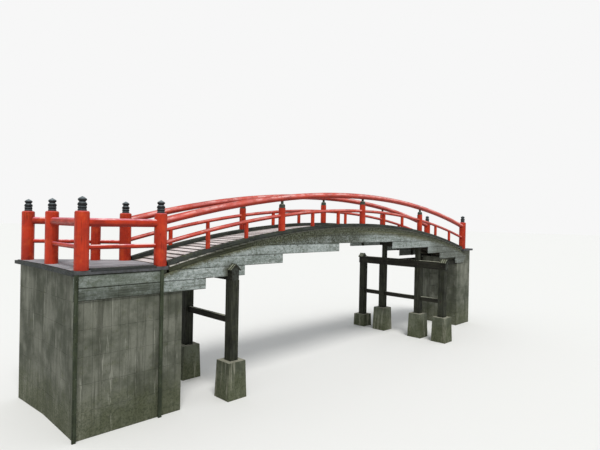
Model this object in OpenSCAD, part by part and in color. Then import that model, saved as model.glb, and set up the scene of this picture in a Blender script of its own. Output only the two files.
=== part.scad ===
// Red arched footbridge: timber deck on two piers, with a railed landing at one end.
// X runs along the span, -Y is the near side, Z = 0 is the foot of the piers.

/* [Span] */
// Distance between the end newels of one railing, centre to centre
span_l = 17400; // [15000:100:19000]
// Rise of the curb line between the end newels and mid-span
rise = 1160; // [900:20:1400]
// Distance between the two railings, centre to centre
rail_w = 2070; // [1800:10:2600]
// Height of the landing floor above the foot of the piers
land_z = 3950; // [3700:50:4500]
// Height of the curb top above the landing floor at the end newels
curb_up = 60; // [40:5:90]

/* [Deck] */
// Width of each curb beam
curb_w = 200; // [160:10:240]
// Height of each curb beam above the planks
curb_h = 115; // [50:5:120]
// Thickness of the deck planks
plank_t = 40; // [40:5:80]
// How far the plank ends stand out past the curb
plank_out = 45; // [20:5:80]
// Depth of the rim beam under the plank ends
rim_h = 150; // [120:10:200]
// Thickness of the rim beam
rim_t = 70; // [50:5:100]
// Width of each arched girder
girder_w = 200; // [150:10:260]
// Depth of each arched girder
girder_h = 425; // [380:5:480]

/* [Fascia] */
// Height of one fascia course
course_h = 295; // [250:5:320]
// Thickness of the fascia boards
board_t = 40; // [30:5:60]
// Drop of the fascia top edge below the curb top
fascia_drop = 285; // [230:5:300]
// Underside of the shortest course above the landing floor
fascia_low = 475; // [430:5:520]

/* [Railing] */
// Diameter of the handrail
top_d = 205; // [140:5:220]
// Height of the handrail centre above the curb top
top_up = 1060; // [950:5:1200]
// Diameter of the lower rail
low_d = 120; // [60:2:130]
// Height of the lower rail centre above the curb top
low_up = 490; // [400:5:600]
// Diameter of the main posts
main_d = 230; // [150:2:240]
// Height of the red body of a main post
main_h = 745; // [700:5:850]
// Diameter of the short posts
short_d = 130; // [90:2:140]
// Difference between a main bay's outer and middle gaps
gap_shift = 60; // [0:2:80]

/* [Newels] */
// Diameter of the newels
newel_d = 330; // [260:5:360]
// Height of the newel body above the landing floor
newel_h = 1387; // [1250:5:1500]
// Rounding at the top of the newel body
newel_round = 45; // [20:5:70]
// Height of the metal finial
finial_h = 343; // [280:5:400]

/* [Landing] */
// Length of the railed landing beyond the end newels
landing_l = 2000; // [1600:50:2600]
// Width of the closed part of the landing front
closed_w = 2070; // [1900:5:2700]
// Width of the entrance in the landing front
gate_w = 1565; // [1200:5:1700]
// How far the far entrance newel stands back from the closed front
gate_back = 140; // [0:10:200]
// Thickness of the landing floor
slab_t = 95; // [80:5:180]
// How far the landing floor reaches past the newel centres
slab_out = 200; // [180:5:260]
// Diameter of the landing handrails
wing_d = 206; // [140:2:220]
// Height of the landing handrails above the floor
wing_top = 1120; // [1000:5:1200]
// Height of the landing lower rails above the floor
wing_low = 535; // [450:5:620]
// Diameter of the landing lower rails
wing_low_d = 112; // [60:2:130]

/* [Piers] */
// Distance of the left pier from mid-span
left_pier_x = 6450; // [6400:25:6600]
// Distance of the right pier from mid-span
right_pier_x = 4450; // [4200:25:4600]
// Distance between the two inner columns of the right pier
column_gap = 1970; // [1500:10:2000]
// Distance of the outrigger columns from the centre line
outrigger_y = 2190; // [1700:10:2400]
// Side of the square columns
column_w = 280; // [220:10:320]
// Width of the cross beams
cross_w = 250; // [200:10:280]
// Depth of the cross beams under the ridge of their gabled ends
cross_h = 450; // [380:10:480]
// Side of the footings at the top
footing_w = 600; // [500:10:700]
// Height of the concrete footings
footing_h = 1080; // [900:10:1200]
// Height of the footing under the far outrigger
low_footing_h = 580; // [500:10:900]

/* [Hidden] */

// Fineness of the long arcs and of everything turned
arc_fn = 720;
round_fn = 48;

// Joints between the lengths of an arched piece, and lengths on each side of the crown
arc_joint = 2;
arc_lengths = 4;

half = span_l / 2;
side_y = rail_w / 2;
arc_r = (half * half + rise * rise) / (2 * rise);
curb_mid = land_z + curb_up + rise;
arc_z = curb_mid - arc_r;

// Levels below the curb top, and the planes of the two sides
deck_top = -curb_h;
rim_top = deck_top - plank_t;
girder_low = rim_top - girder_h;
girder_in = 300;
curb_out = side_y + curb_w / 2;
deck_half = curb_out + plank_out;
rim_y = curb_out - 20;
face_y = rim_y + board_t;

// Landing and far bank
newel_r = newel_d / 2;
newel_in = half - newel_r;
wing_x = -half - landing_l;
gate_x = wing_x - gate_back;
front_x = wing_x - slab_out;
corner_x = gate_x - slab_out;
turn_y = -side_y + closed_w;
gate_y = turn_y + gate_w;
back_y = gate_y + slab_out;
right_l = 850;
right_x = half + right_l;
edge_t = 60;
edge_drop = 20;
lip_h = 40;
lip_out = deck_half - side_y;
sill_up = 30;
siding_top = land_z - slab_t;
batten_w = 90;
batten_t = 40;
siding_gap = 6;
socket = 40;

// Abutments: a wide mass under the landing, narrower between the fascias
abutment_out = 140;
abutment_near = rim_y - side_y;
shelf_l = 480;
shelf_y = rim_y - 15;
right_set_back = 60;
girder_reach = newel_in - 20;
girder_heel = arc_z + (arc_r + girder_low) * cos(asin(girder_reach / arc_r));

// Steps in the fascia, as distances left and right of mid-span, and its slanted right end
left_steps = [1520, 4380, 5950, 7340];
right_steps = [2010, 4990, 6110, 7750];
courses = len(left_steps) + 1;
fascia_end = half + 10;
slant_low = half - 100;
slant_high = half + 340;
tip_h = 30;
stud_w = 90;

// Cross beams: ridge height of the gabled ends, reach, and the hoods over them
left_ridge = land_z - 65;
right_ridge = land_z - 315;
left_reach = 1350;
right_reach = outrigger_y + column_w / 2 + 50;
left_column_y = left_reach - column_w / 2;
hood_w = 330;
hood_rise = 155;
hood_t = 35;
hood_l = 270;
hood_over = 20;
hood_slope = hood_rise / (hood_w / 2);
joint_gap = 8;
ridge_gap = 3;
left_low = left_ridge - cross_h;
right_low = right_ridge - cross_h;
right_flat = right_ridge - hood_slope * cross_w / 2;

// Cap over the right pier, between the studs, and the seats cut to the girders
cap_w = 180;
cap_h = 195;
cap_reach = shelf_y - stud_w;
left_seat = arch_z(left_pier_x + cross_w / 2, girder_low);
right_seat = arch_z(right_pier_x + cap_w / 2, girder_low);

// Ties, side beams and the batter of the footings
tie_w = 120;
tie_h = 180;
left_tie_z = land_z - 1790;
right_tie_z = land_z - 2270;
side_w = 160;
side_h = 215;
footing_flare = 70;
pier_out = outrigger_y + (footing_w + footing_flare) / 2;

// Plain post in the diagonal rails
wing_post_d = 270;
wing_post = [-half, side_y] + 0.31 * [gate_x + half, gate_y - side_y];

// Posts: how far their feet reach before they are cut to the curb, and their turned caps
post_sink = 15;
rail_play = 1;
cut_l = 600;
cap_d = 204;
cap_drum = 80;
cap_neck_d = 92;

// Offsets that centre the whole bridge on the origin
shift_x = -(corner_x - edge_t + right_x) / 2;
shift_y = -(back_y + edge_t - pier_out) / 2;

red = [0.68, 0.17, 0.11];
dark_wood = [0.16, 0.15, 0.12];
grey_wood = [0.55, 0.56, 0.52];
plank_wood = [0.62, 0.57, 0.54];
concrete = [0.58, 0.58, 0.55];
metal = [0.20, 0.22, 0.22];

function arch_z(x, up = 0) = arc_z + sqrt(pow(arc_r + up, 2) - x * x);
function tilt(x, up = 0) = asin(x / (arc_r + up));

// Positions along one railing
bay = span_l / 4;
main_xs = [for (i = [-1:1]) i * bay];
short_xs = [for (i = [0:3], k = [-1, 1]) -half + (i + 0.5) * bay + k * (bay / 6 - gap_shift / 2)];

module place() {
    translate([shift_x, shift_y, 0]) children();
}

// Sweeps a profile along the arch in equal lengths, each half from its end to the crown
module arch_sweep(a, lengths) {
    part = a / lengths;
    joint = lengths > 1 ? arc_joint / arc_r * 180 / PI : 0;
    translate([0, 0, arc_z])
        for (s = [0, 1], i = [0:lengths - 1])
            mirror([s, 0, 0])
                rotate([90, 0, 0])
                    rotate_extrude(angle = part - joint, start = 90 - a + i * part, $fn = arc_fn)
                        children();
}

// A bar that follows the arch between x = -reach and x = reach
module arch_bar(y, w, up, h, reach, lengths = arc_lengths) {
    arch_sweep(asin(reach / arc_r), lengths)
        translate([arc_r + up - h, -y - w / 2]) square([h, w]);
}

// A round rail that follows the arch
module arch_rail(y, d, up, reach) {
    arch_sweep(asin(reach / (arc_r + up)), arc_lengths)
        translate([arc_r + up, -y]) circle(d = d, $fn = round_fn);
}

// Straight bar along a rail at x, used to cope posts and to bore sockets
module rail_cut(x, y, d, up, len = cut_l) {
    translate([x, y, arch_z(x, up)])
        rotate([0, 90 + tilt(x, up), 0])
            cylinder(d = d, h = len, center = true, $fn = round_fn);
}

module newel_bore(x, y) {
    translate([x, y, 0]) cylinder(d = newel_d, h = land_z + newel_h, $fn = round_fn);
}

// Landing outline grown by g past the newel centres, by near on the near side
module landing_outline(g, near) {
    dx = landing_l + gate_back;
    dy = gate_y - side_y;
    len = norm([dx, dy]);
    polygon([
        [wing_x - g, -side_y - near],
        [-newel_in, -side_y - near],
        [-newel_in, side_y + g],
        [-half + g * (len - dx) / dy, side_y + g],
        [-half + (g * len - (dy + g) * dx) / dy, gate_y + g],
        [gate_x - g, gate_y + g],
        [wing_x - g, turn_y]
    ]);
}

// Box along the near side between the two near newels of the landing
module near_bar(y0, y1, low, top) {
    translate([wing_x + newel_r, y0, land_z + low])
        cube([landing_l - newel_d, y1 - y0, top - low]);
}

// Floor with a lowered lip under the near sill
module left_landing() {
    color(concrete) place()
        difference() {
            translate([0, 0, land_z - slab_t])
                linear_extrude(slab_t) landing_outline(slab_out, lip_out);
            near_bar(-side_y - newel_d, curb_w / 2 - side_y, -lip_h, lip_h);
        }
}

module right_landing() {
    w = 2 * (side_y + slab_out);
    color(concrete) place()
        translate([newel_in, -w / 2, land_z - slab_t])
            cube([right_x - newel_in, w, slab_t]);
}

// Bridge end of an abutment: the part between the fascias, with the shelf for the girders
module bearing_wall(side, x1, top) {
    x0 = newel_in - shelf_l;
    mirror([side > 0 ? 0 : 1, 0, 0]) {
        translate([x0, -shelf_y, 0]) cube([x1 - x0, 2 * shelf_y, girder_heel]);
        translate([newel_in, -shelf_y, 0]) cube([x1 - newel_in, 2 * shelf_y, top]);
    }
}

module left_abutment() {
    wide_x = -fascia_end - 10;
    color(concrete) place() {
        linear_extrude(land_z - slab_t)
            intersection() {
                landing_outline(abutment_out, abutment_near);
                translate([corner_x, -back_y]) square([wide_x - corner_x, 2 * back_y]);
            }
        bearing_wall(-1, -wide_x, land_z - slab_t);
    }
}

module right_abutment() {
    color(concrete) place() bearing_wall(1, right_x - right_set_back, land_z - slab_t);
}

// Beam round the floor, and on the near side a sill between the newels
module landing_edge_beams() {
    color(dark_wood) place() {
        translate([0, 0, land_z - slab_t - edge_drop])
            linear_extrude(slab_t)
                difference() {
                    landing_outline(slab_out + edge_t, lip_out);
                    landing_outline(slab_out, newel_d);
                }
        near_bar(-curb_w / 2 - side_y, curb_w / 2 - side_y, -lip_h, sill_up);
    }
}

// Two boards in line with the lowest fascia courses, on the side of the landing
module landing_siding() {
    color(grey_wood) place()
        for (n = [courses - 2, courses - 1]) {
            z0 = land_z + fascia_low - course_h * n;
            z1 = min(siding_top, z0 + course_h - siding_gap);
            translate([front_x, -face_y, z0])
                cube([-fascia_end - siding_gap - front_x, board_t, z1 - z0]);
        }
}

// Upright boards at the front and over the joint with the fascia, down to the ground
module siding_battens() {
    color(dark_wood) place()
        for (x = [front_x, -fascia_end - batten_w / 2])
            translate([x, -face_y - batten_t, 0])
                cube([batten_w, batten_t, siding_top]);
}

module girders() {
    color(dark_wood) place()
        for (y = [-1, 0, 1] * (side_y - girder_in))
            arch_bar(y, girder_w, rim_top, girder_h, girder_reach, 1);
}

module deck() {
    color(plank_wood) place()
        arch_bar(0, 2 * deck_half, deck_top, plank_t, newel_in);
}

module curb(side) {
    color(dark_wood) place() arch_bar(side * side_y, curb_w, 0, curb_h, newel_in);
}

module curb_near() { curb(-1); }
module curb_far() { curb(1); }

module rim_beam(side) {
    color(dark_wood) place()
        arch_bar(side * (rim_y - rim_t / 2), rim_t, rim_top, rim_h, newel_in);
}

module rim_beam_near() { rim_beam(-1); }
module rim_beam_far() { rim_beam(1); }

module fascia_studs() {
    color(dark_wood) place()
        for (x = concat(main_xs, short_xs), side = [-1, 1]) {
            z0 = land_z + fascia_low - course_h * course_of(x);
            z1 = arch_z(abs(x) + stud_w / 2, rim_top - rim_h);
            translate([x - stud_w / 2, side > 0 ? rim_y - stud_w : -rim_y, z0])
                cube([stud_w, stud_w, z1 - z0]);
        }
}

function steps(side) = side > 0 ? right_steps : left_steps;

// Number of courses below the shortest one at x
function course_of(x) = len([for (s = steps(x)) if (abs(x) > s) s]);

// Where the sloping top edge leaves a course only a thin tip: the board is cut square there
function course_end(n, limit) =
    let(z = land_z + fascia_low - course_h * n + tip_h - arc_z)
    min(limit, sqrt(pow(arc_r - fascia_drop, 2) - z * z));

// Boards of one course on both sides: the highest is in one length, the others stop at a step
module course_boards(n) {
    z0 = land_z + fascia_low - course_h * n;
    h = n == 0 ? rise : course_h;
    for (side = [-1, 1], s = n == 0 ? [1] : [-1, 1]) {
        x0 = n == 0 ? -course_end(0, fascia_end) : steps(s)[n - 1];
        x1 = course_end(n, s > 0 ? slant_high : fascia_end);
        translate([s > 0 ? x0 : -x1, side * (face_y - board_t / 2) - board_t / 2, z0])
            cube([x1 - x0, board_t, h]);
    }
}

// Wedge that slants the right end of the lowest courses
module end_slant() {
    low = land_z + fascia_low - course_h * (courses - 1);
    rotate([90, 0, 0])
        linear_extrude(3 * deck_half, center = true)
            polygon([
                [slant_low, low],
                [slant_high, low + (slant_high - slant_low)],
                [slant_high + rise, low + (slant_high - slant_low)],
                [slant_high + rise, low - 1],
                [slant_low - 1, low - 1]
            ]);
}

module fascia_course(n) {
    color(grey_wood) place()
        difference() {
            intersection() {
                course_boards(n);
                translate([0, 0, arc_z])
                    rotate([90, 0, 0])
                        cylinder(r = arc_r - fascia_drop, h = 3 * deck_half, center = true, $fn = arc_fn);
            }
            if (n > 2) end_slant();
            if (n > 1)
                gable_bar(-left_pier_x, left_ridge, 3 * deck_half, joint_gap);
        }
}

module fascia_course_1() { fascia_course(0); }
module fascia_course_2() { fascia_course(1); }
module fascia_course_3() { fascia_course(2); }
module fascia_course_4() { fascia_course(3); }
module fascia_course_5() { fascia_course(4); }

// Bar along Y with a gabled top, its ridge at height ridge; grow widens it into a cutter
module gable_bar(x, ridge, length, grow = 0) {
    w = cross_w / 2 + grow;
    low = ridge - cross_h - grow;
    eave = ridge + grow - hood_slope * w;
    translate([x, 0, 0])
        rotate([90, 0, 0])
            linear_extrude(length, center = true)
                polygon([[-w, low], [w, low], [w, eave], [0, ridge + grow], [-w, eave]]);
}

// Beam with a flat top up to flat_y, and gabled ends beyond it
module cross_beam(x, ridge, flat, flat_y, reach) {
    translate([x - cross_w / 2, -flat_y, ridge - cross_h])
        cube([cross_w, 2 * flat_y, flat - ridge + cross_h]);
    for (side = [-1, 1])
        translate([0, side * (flat_y + reach) / 2, 0])
            gable_bar(x, ridge, reach - flat_y);
}

module left_cross_beam() {
    color(dark_wood) place() cross_beam(-left_pier_x, left_ridge, left_seat, shelf_y, left_reach);
}

module right_cross_beam() {
    color(dark_wood) place()
        cross_beam(right_pier_x, right_ridge, right_flat, right_reach - hood_l, right_reach);
}

module right_cap_beam() {
    color(dark_wood) place()
        translate([right_pier_x - cap_w / 2, -cap_reach, right_seat - cap_h])
            cube([cap_w, 2 * cap_reach, cap_h]);
}

// Two sloping boards that cover the gabled end of a beam between y0 and y1
module hood(x, ridge, y0, y1, side) {
    w = hood_w / 2;
    g = ridge_gap;
    translate([x, side * (y0 + y1) / 2, ridge])
        rotate([90, 0, 0])
            linear_extrude(y1 - y0, center = true)
                for (s = [-1, 1])
                    polygon([
                        [s * w, -hood_rise],
                        [s * g, -hood_slope * g],
                        [s * g, hood_t - hood_slope * g],
                        [s * w, hood_t - hood_rise]
                    ]);
}

module beam_end_roofs() {
    color(grey_wood) place()
        for (side = [-1, 1]) {
            hood(-left_pier_x, left_ridge, face_y + 2, left_reach + hood_over, side);
            hood(right_pier_x, right_ridge, right_reach - hood_l, right_reach + hood_over, side);
        }
}

module column(x, y, bottom, top) {
    translate([x - column_w / 2, y - column_w / 2, bottom])
        cube([column_w, column_w, top - bottom]);
}

module columns_left() {
    color(dark_wood) place()
        for (side = [-1, 1]) column(-left_pier_x, side * left_column_y, footing_h, left_low);
}

// Four columns up to the cross beam, and two posts from it to the cap under the girders
module columns_right() {
    color(dark_wood) place() {
        for (y = [-outrigger_y, -column_gap / 2, column_gap / 2])
            column(right_pier_x, y, footing_h, right_low);
        column(right_pier_x, outrigger_y, low_footing_h, right_low);
        for (side = [-1, 1])
            translate([right_pier_x - cap_w / 2, side * (cap_reach - cap_w / 2) - cap_w / 2, right_flat])
                cube([cap_w, cap_w, right_seat - cap_h - right_flat]);
    }
}

// Square block that widens a little towards the ground
module footing(x, y, h) {
    foot_w = footing_w + footing_flare * h / footing_h;
    translate([x, y, 0])
        rotate(45)
            cylinder(h = h, d1 = foot_w * sqrt(2), d2 = footing_w * sqrt(2), $fn = 4);
}

module footings_left() {
    color(concrete) place()
        for (side = [-1, 1]) footing(-left_pier_x, side * left_column_y, footing_h);
}

module footings_right() {
    color(concrete) place() {
        for (y = [-outrigger_y, -column_gap / 2, column_gap / 2]) footing(right_pier_x, y, footing_h);
        footing(right_pier_x, outrigger_y, low_footing_h);
    }
}

// Tie between the facing sides of two columns
module tie(x, y0, y1, z) {
    translate([x - tie_w / 2, y0 + column_w / 2, z])
        cube([tie_w, y1 - y0 - column_w, tie_h]);
}

module tie_beams() {
    ys = [-outrigger_y, -column_gap / 2, column_gap / 2, outrigger_y];
    color(dark_wood) place() {
        tie(-left_pier_x, -left_column_y, left_column_y, left_tie_z);
        for (i = [0:2]) tie(right_pier_x, ys[i], ys[i + 1], right_tie_z);
    }
}

// Level beams from the right pier to the abutment
module side_beams() {
    x0 = right_pier_x + cross_w / 2;
    color(dark_wood) place()
        for (side = [-1, 1])
            translate([x0, side * column_gap / 2 - side_w / 2, right_low])
                cube([newel_in - shelf_l - x0, side_w, side_h]);
}

module railing_arc(side, d, up) {
    color(red) place() arch_rail(side * side_y, d, up, newel_in + socket);
}

module top_rail_near() { railing_arc(-1, top_d, top_up); }
module top_rail_far() { railing_arc(1, top_d, top_up); }
module lower_rail_near() { railing_arc(-1, low_d, low_up); }
module lower_rail_far() { railing_arc(1, low_d, low_up); }

module main_posts() {
    color(red) place()
        for (x = main_xs, side = [-1, 1])
            difference() {
                translate([x, side * side_y, arch_z(x) - post_sink])
                    cylinder(d = main_d, h = main_h + post_sink, $fn = round_fn);
                rail_cut(x, side * side_y, low_d + rail_play, low_up);
                curb_cut(x, side * side_y);
            }
}

// The sloping top of the curb, cut out of the foot of a post
module curb_cut(x, y) {
    translate([x, y, arch_z(x)])
        rotate([0, tilt(x), 0])
            translate([-cut_l / 2, -cut_l / 2, -cut_l])
                cube(cut_l);
}

module post_cap(x, y, z, top) {
    translate([x, y, z])
        rotate_extrude($fn = round_fn)
            polygon(cap_profile(top - z));
}

// Turned cap: a drum with a rounded shoulder and a slim neck up to the rail
function cap_profile(h) = let(r = cap_neck_d / 2, round = (cap_d - cap_neck_d) / 2) concat(
    [[0, 0], [r + round, 0], [r + round, cap_drum]],
    [for (a = [0:15:90]) [r + round * cos(a), cap_drum + round * sin(a)]],
    [[r, h], [0, h]]
);

module post_caps() {
    color(metal) place()
        for (x = main_xs, side = [-1, 1])
            difference() {
                post_cap(x, side * side_y, arch_z(x) + main_h, arch_z(x, top_up));
                rail_cut(x, side * side_y, top_d, top_up);
            }
}

module short_posts(side) {
    color(red) place()
        for (x = short_xs)
            difference() {
                translate([x, side * side_y, arch_z(x) - post_sink])
                    cylinder(d = short_d, h = low_up + post_sink, $fn = round_fn);
                rail_cut(x, side * side_y, low_d, low_up);
                curb_cut(x, side * side_y);
            }
}

module short_posts_near() { short_posts(-1); }
module short_posts_far() { short_posts(1); }

module newel(x, y) {
    r = newel_round;
    translate([x, y, land_z])
        rotate_extrude($fn = round_fn)
            polygon(concat(
                [[0, 0], [newel_r, 0]],
                [for (a = [0:15:90]) [newel_r - r + r * cos(a), newel_h - r + r * sin(a)]],
                [[0, newel_h]]
            ));
}

wing_newels = [[wing_x, -side_y], [wing_x, turn_y], [gate_x, gate_y]];

// An end newel of the span, socketed for the two arched rails
module end_newel(side, y) {
    x = side * newel_in;
    difference() {
        newel(side * half, y);
        rail_cut(x, y, top_d + rail_play, top_up, 2 * socket);
        rail_cut(x, y, low_d + rail_play, low_up, 2 * socket);
    }
}

module newels_left() {
    color(red) place() {
        for (y = [-side_y, side_y]) end_newel(-1, y);
        for (p = wing_newels) newel(p[0], p[1]);
    }
}

module newels_right() {
    color(red) place() for (y = [-side_y, side_y]) end_newel(1, y);
}

// Half profile of a finial as radius and height: two rings, cushion, waist, pointed bulb
function finial_profile() = concat(
    [[0, 0], [100, 0], [100, 36], [88, 44], [88, 52], [100, 60], [100, 100], [90, 110]],
    [[90, 118], [104, 132], [107, 148], [104, 165], [92, 188], [76, 205], [70, 214]],
    [[74, 224], [90, 238], [99, 255], [100, 270], [92, 284], [74, 300], [50, 316]],
    [[24, 330], [0, finial_h]]
);

module finial(x, y) {
    translate([x, y, land_z + newel_h])
        rotate_extrude($fn = round_fn) polygon(finial_profile());
}

module finials_left() {
    color(metal) place() {
        for (y = [-side_y, side_y]) finial(-half, y);
        for (p = wing_newels) finial(p[0], p[1]);
    }
}

module finials_right() {
    color(metal) place() for (y = [-side_y, side_y]) finial(half, y);
}

// Level round bar between two points
module wing_rail_bar(p, q, d, up) {
    v = q - p;
    translate([p[0], p[1], land_z + up])
        rotate([0, 90, atan2(v[1], v[0])])
            cylinder(d = d, h = norm(v), $fn = round_fn);
}

// Handrail and lower rail between two newels, coped at both ends
module wing_rails(p, q) {
    color(red) place()
        difference() {
            union() {
                wing_rail_bar(p, q, wing_d, wing_top);
                difference() {
                    wing_rail_bar(p, q, wing_low_d, wing_low);
                    wing_post_body(rail_play);
                }
            }
            newel_bore(p[0], p[1]);
            newel_bore(q[0], q[1]);
        }
}

module wing_rails_near() { wing_rails([wing_x, -side_y], [-half, -side_y]); }
module wing_rails_front() { wing_rails([wing_x, -side_y], [wing_x, turn_y]); }
module wing_rails_far() { wing_rails([gate_x, gate_y], [-half, side_y]); }

module wing_post_body(grow) {
    translate([wing_post[0], wing_post[1], land_z])
        cylinder(d = wing_post_d + grow, h = wing_top, $fn = round_fn);
}

// Plain post part of the way along the diagonal rails, coped to the handrail
module wing_post() {
    color(red) place()
        difference() {
            wing_post_body(0);
            wing_rail_bar([gate_x, gate_y], [-half, side_y], wing_d + rail_play, wing_top);
        }
}

left_abutment();
right_abutment();
left_landing();
right_landing();
landing_edge_beams();
landing_siding();
siding_battens();
girders();
deck();
curb_near();
curb_far();
rim_beam_near();
rim_beam_far();
fascia_studs();
fascia_course_1();
fascia_course_2();
fascia_course_3();
fascia_course_4();
fascia_course_5();
left_cross_beam();
right_cross_beam();
right_cap_beam();
beam_end_roofs();
columns_left();
columns_right();
footings_left();
footings_right();
tie_beams();
side_beams();
top_rail_near();
top_rail_far();
lower_rail_near();
lower_rail_far();
main_posts();
post_caps();
short_posts_near();
short_posts_far();
newels_left();
newels_right();
finials_left();
finials_right();
wing_rails_near();
wing_rails_front();
wing_rails_far();
wing_post();
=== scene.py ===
import math
import random
import bpy
import bmesh
from mathutils import Vector, Matrix, noise


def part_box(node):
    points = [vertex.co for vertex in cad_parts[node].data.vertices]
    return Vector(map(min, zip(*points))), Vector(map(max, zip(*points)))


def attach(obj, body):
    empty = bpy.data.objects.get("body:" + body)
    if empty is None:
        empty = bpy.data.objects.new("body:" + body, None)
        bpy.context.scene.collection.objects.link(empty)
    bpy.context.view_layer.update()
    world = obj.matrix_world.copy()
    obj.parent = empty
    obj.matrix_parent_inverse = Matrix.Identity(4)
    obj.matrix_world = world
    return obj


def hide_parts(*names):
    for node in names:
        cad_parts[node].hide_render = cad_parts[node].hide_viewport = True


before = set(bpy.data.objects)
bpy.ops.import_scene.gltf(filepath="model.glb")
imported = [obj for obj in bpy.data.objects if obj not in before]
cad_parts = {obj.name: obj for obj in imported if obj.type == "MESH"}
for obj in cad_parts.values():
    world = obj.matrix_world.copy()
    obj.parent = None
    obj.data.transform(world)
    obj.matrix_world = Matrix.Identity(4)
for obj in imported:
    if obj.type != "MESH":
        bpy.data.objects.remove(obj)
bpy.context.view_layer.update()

# The bridge's main sizes in metres, as the construction has them
bridge = {
    "shiftX": 0.775, "shiftY": -0.1675,
    "landZ": 3.95, "curbUp": 0.06, "halfSpan": 8.7, "rise": 1.16,
    "curbH": 0.115, "plankT": 0.04, "deckHalf": 1.18,
    "faceY": 1.155, "fasciaDrop": 0.285, "fasciaLow": 0.475, "courseH": 0.295,
}
arcR = (bridge["halfSpan"] ** 2 + bridge["rise"] ** 2) / (2 * bridge["rise"])
arcZ = bridge["landZ"] + bridge["curbUp"] + bridge["rise"] - arcR


def place(x, y, z):
    # bridge coordinates, X from mid-span, to the scene
    return Vector((x + bridge["shiftX"], y + bridge["shiftY"], z))


def archHeight(x, up=0.0):
    return arcZ + math.sqrt((arcR + up) ** 2 - x * x)


def paint(r, g, b):
    # colour given in 0-255 screen values, to the linear values the shader wants
    def one(c):
        c = c / 255
        return c / 12.92 if c <= 0.04045 else ((c + 0.055) / 1.055) ** 2.4
    return (one(r), one(g), one(b), 1.0)


def newSurface(name, roughness=0.6, metallic=0.0, specular=0.5):
    mat = bpy.data.materials.new(name)
    mat.use_nodes = True
    tree = mat.node_tree
    tree.nodes.clear()
    out = tree.nodes.new("ShaderNodeOutputMaterial")
    shader = tree.nodes.new("ShaderNodeBsdfPrincipled")
    shader.inputs["Roughness"].default_value = roughness
    shader.inputs["Metallic"].default_value = metallic
    shader.inputs["Specular IOR Level"].default_value = specular
    tree.links.new(shader.outputs["BSDF"], out.inputs["Surface"])
    return mat, tree, shader


def feed(tree, socket, value):
    if isinstance(value, bpy.types.NodeSocket):
        tree.links.new(value, socket)
    else:
        socket.default_value = value


def calc(tree, operation, a, b=0.0):
    node = tree.nodes.new("ShaderNodeMath")
    node.operation = operation
    for socket, value in zip(node.inputs, (a, b)):
        feed(tree, socket, value)
    return node.outputs[0]


def times(tree, a, b):
    return calc(tree, "MULTIPLY", a, b)


def plus(tree, a, b):
    return calc(tree, "ADD", a, b)


def minus(tree, a, b):
    return calc(tree, "SUBTRACT", a, b)


def absolute(tree, a):
    return calc(tree, "ABSOLUTE", a)


def fadeBetween(tree, value, low, high, toLow=0.0, toHigh=1.0):
    node = tree.nodes.new("ShaderNodeMapRange")
    node.interpolation_type = "SMOOTHSTEP"
    for socket, v in zip(node.inputs, (value, low, high, toLow, toHigh)):
        feed(tree, socket, v)
    return node.outputs[0]


def blendColour(tree, factor, a, b):
    node = tree.nodes.new("ShaderNodeMix")
    node.data_type = "RGBA"
    feed(tree, node.inputs[0], factor)
    feed(tree, node.inputs[6], a)
    feed(tree, node.inputs[7], b)
    return node.outputs[2]


def blotches(tree, where, scale, detail=4.0, rough=0.55, stretch=None, twist=0.0):
    # noise, stretched along an axis when stretch is given
    if stretch is not None:
        mapping = tree.nodes.new("ShaderNodeMapping")
        mapping.inputs["Scale"].default_value = stretch
        tree.links.new(where, mapping.inputs["Vector"])
        where = mapping.outputs[0]
    node = tree.nodes.new("ShaderNodeTexNoise")
    tree.links.new(where, node.inputs["Vector"])
    node.inputs["Scale"].default_value = scale
    node.inputs["Detail"].default_value = detail
    node.inputs["Roughness"].default_value = rough
    node.inputs["Distortion"].default_value = twist
    return node.outputs["Fac"]


def cells(tree, where, scale, stretch=None):
    if stretch is not None:
        mapping = tree.nodes.new("ShaderNodeMapping")
        mapping.inputs["Scale"].default_value = stretch
        tree.links.new(where, mapping.inputs["Vector"])
        where = mapping.outputs[0]
    node = tree.nodes.new("ShaderNodeTexVoronoi")
    tree.links.new(where, node.inputs["Vector"])
    node.inputs["Scale"].default_value = scale
    return node.outputs["Distance"]


def objectPoint(tree):
    return tree.nodes.new("ShaderNodeTexCoord").outputs["Object"]


def splitPoint(tree, where):
    node = tree.nodes.new("ShaderNodeSeparateXYZ")
    tree.links.new(where, node.inputs[0])
    return node.outputs[0], node.outputs[1], node.outputs[2]


def joinPoint(tree, x, y, z):
    node = tree.nodes.new("ShaderNodeCombineXYZ")
    for socket, value in zip(node.inputs, (x, y, z)):
        feed(tree, socket, value)
    return node.outputs[0]


def archPoint(tree):
    # the point bent along the arch, with the distance along it and the height over the curb line
    x, y, z = splitPoint(tree, objectPoint(tree))
    dx = minus(tree, x, bridge["shiftX"])
    dz = minus(tree, z, arcZ)
    along = times(tree, calc(tree, "ARCTAN2", dx, dz), arcR)
    radius = calc(tree, "SQRT", plus(tree, times(tree, dx, dx), times(tree, dz, dz)))
    up = minus(tree, radius, arcR)
    return joinPoint(tree, along, y, up), along, up


def surfaceOf(tree):
    return tree.nodes.new("ShaderNodeNewGeometry")


def upFacing(tree, geo):
    # 1 on faces that look up, 0 on upright ones, -1 on those that look down
    return splitPoint(tree, geo.outputs["Normal"])[2]


def applyBump(tree, shader, height, strength, distance):
    node = tree.nodes.new("ShaderNodeBump")
    node.inputs["Strength"].default_value = strength
    node.inputs["Distance"].default_value = distance
    tree.links.new(height, node.inputs["Height"])
    tree.links.new(node.outputs[0], shader.inputs["Normal"])


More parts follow.
